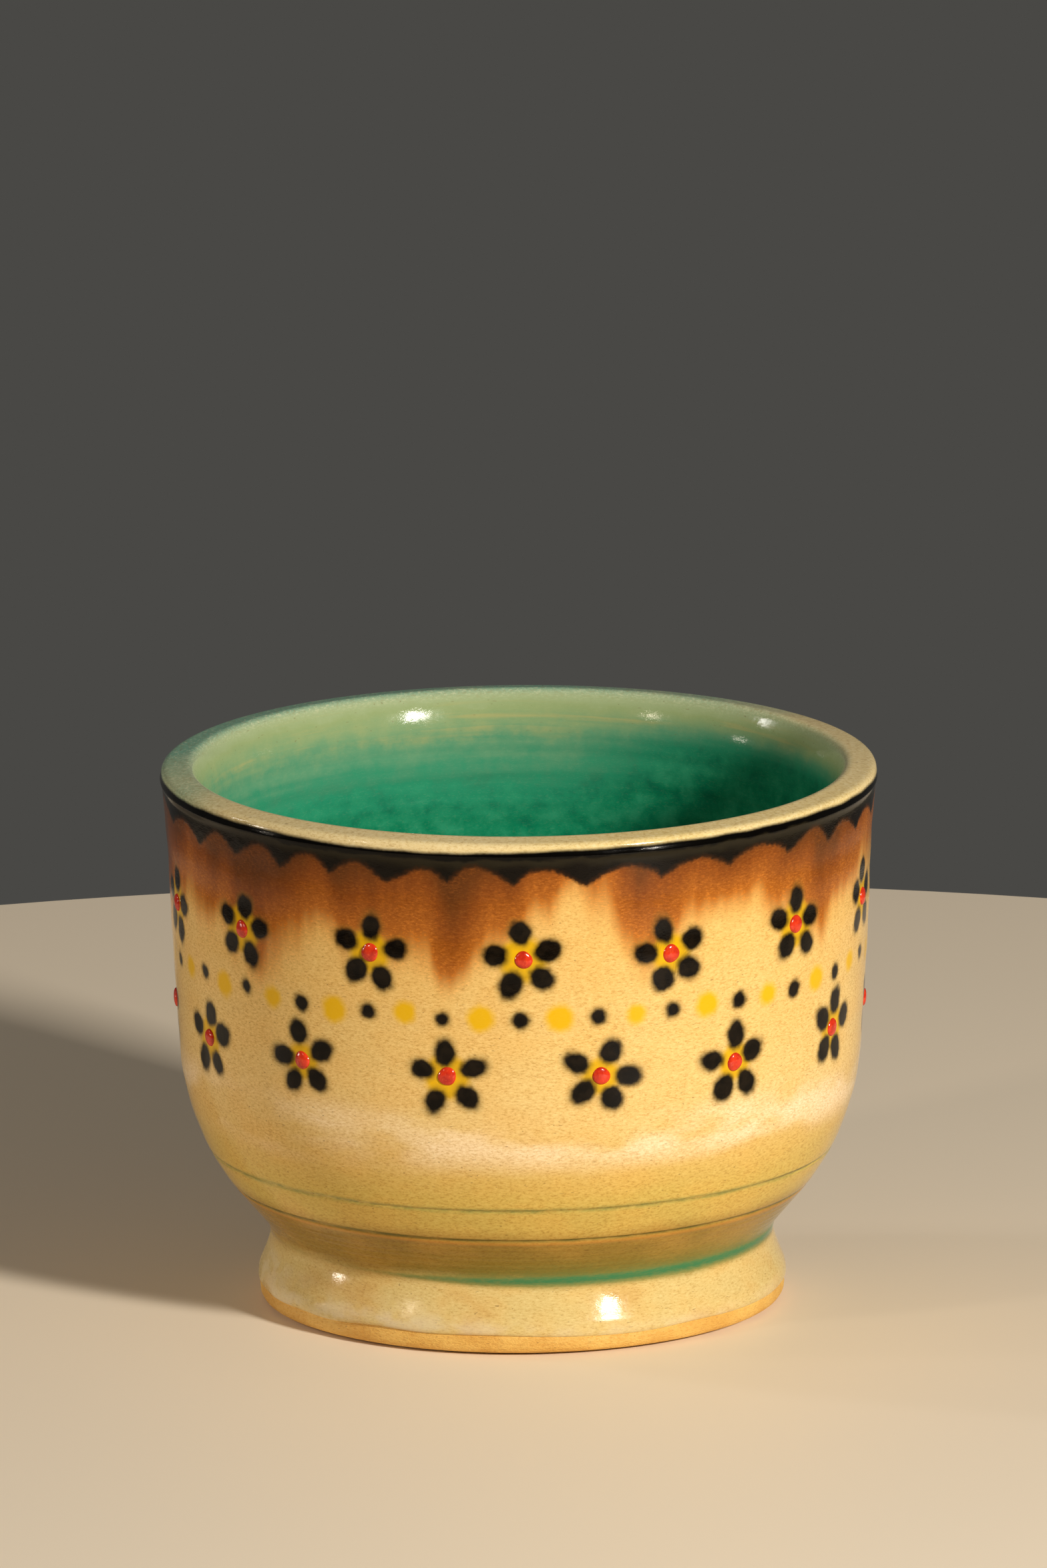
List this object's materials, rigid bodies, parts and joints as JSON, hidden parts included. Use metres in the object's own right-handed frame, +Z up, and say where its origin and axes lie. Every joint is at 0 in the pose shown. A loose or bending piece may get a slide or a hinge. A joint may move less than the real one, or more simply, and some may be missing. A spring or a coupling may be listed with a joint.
{
  "type": "ceramic cup",
  "caption": "Hand-thrown round cup with a slightly flared wall, a rounded shoulder and a flared foot ring, glazed inside and out, for drinks.",
  "frame": {"origin": "centre of the standing ring, on the table", "axes": "+Z up along the cup's axis, -Y to the front"},
  "size_m": [0.1, 0.1, 0.0763],
  "materials": {
    "bowl_clay": "matt buff clay",
    "foot_clay": "matt ochre clay",
    "honey_glaze_foot": "gloss honey glaze",
    "green_pool": "gloss green glaze",
    "honey_glaze_skirt": "gloss olive honey glaze",
    "honey_glaze_wall": "gloss honey glaze with painted flowers",
    "iron_brown": "gloss iron brown, streaked",
    "black_slip": "gloss black",
    "straw_glaze": "gloss straw glaze",
    "copper_green": "gloss copper green glaze",
    "red_slip": "gloss red slip"
  },
  "bodies": {
    "root": {"bowl": "bowl_clay", "foot_ring": "foot_clay", "foot_glaze": "honey_glaze_foot", "crease_glaze": "green_pool", "skirt_glaze": "honey_glaze_skirt", "wall_glaze": "honey_glaze_wall", "brown_wash": "iron_brown", "rim_band": "black_slip", "lip_glaze": "straw_glaze", "liner_glaze": "copper_green", "upper_bead_1": "red_slip", "upper_bead_2": "red_slip", "upper_bead_3": "red_slip", "upper_bead_4": "red_slip", "upper_bead_5": "red_slip", "upper_bead_6": "red_slip", "upper_bead_7": "red_slip", "upper_bead_8": "red_slip", "upper_bead_9": "red_slip", "upper_bead_10": "red_slip", "upper_bead_11": "red_slip", "upper_bead_12": "red_slip", "upper_bead_13": "red_slip", "upper_bead_14": "red_slip", "lower_bead_1": "red_slip", "lower_bead_2": "red_slip", "lower_bead_3": "red_slip", "lower_bead_4": "red_slip", "lower_bead_5": "red_slip", "lower_bead_6": "red_slip", "lower_bead_7": "red_slip", "lower_bead_8": "red_slip", "lower_bead_9": "red_slip", "lower_bead_10": "red_slip", "lower_bead_11": "red_slip", "lower_bead_12": "red_slip", "lower_bead_13": "red_slip", "lower_bead_14": "red_slip"}
  },
  "joints": []
}
